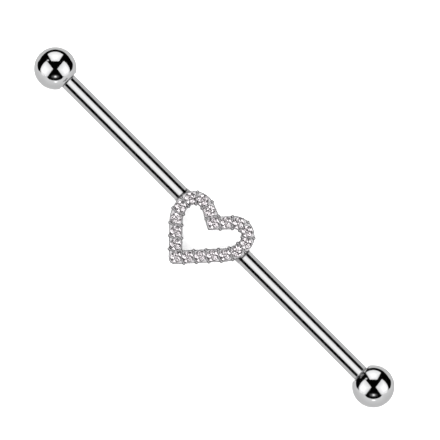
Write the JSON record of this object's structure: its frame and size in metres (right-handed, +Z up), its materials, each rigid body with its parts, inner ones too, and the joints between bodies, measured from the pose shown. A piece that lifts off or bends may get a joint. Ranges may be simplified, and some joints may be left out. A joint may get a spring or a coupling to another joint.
{
  "type": "industrial barbell",
  "caption": "Straight polished steel ear barbell with a screw-on ball at each end and an open heart set with small round clear stones soldered into the middle of the bar.",
  "frame": {"origin": "centre of the bounding box in X and Y, at the height of the surface the piece lies on; the bar's axis runs 2.0 mm above it at Y = 1.258 mm", "axes": "+X along the bar towards the ball beside the heart's higher lobe, +Y from the heart's point towards its lobes, +Z up"},
  "size_m": [0.046, 0.008, 0.004],
  "materials": {
    "steel": "mirror-polished stainless steel",
    "stone": "cut and polished, clear with a faint pink tint"
  },
  "bodies": {
    "bar": {"bar_and_heart": "steel", "stone_01": "stone", "stone_02": "stone", "stone_03": "stone", "stone_04": "stone", "stone_05": "stone", "stone_06": "stone", "stone_07": "stone", "stone_08": "stone", "stone_09": "stone", "stone_10": "stone", "stone_11": "stone", "stone_12": "stone", "stone_13": "stone", "stone_14": "stone", "stone_15": "stone", "stone_16": "stone", "stone_17": "stone", "stone_18": "stone"},
    "left_ball": {"ball_end_left": "steel"},
    "right_ball": {"ball_end_right": "steel"}
  },
  "joints": [
    {"name": "unscrew_left", "type": "slide", "parent": "bar", "child": "left_ball", "axis": [-1, 0, 0], "range_m": [0, 0.006]},
    {"name": "unscrew_right", "type": "slide", "parent": "bar", "child": "right_ball", "axis": [1, 0, 0], "range_m": [0, 0.006]}
  ]
}
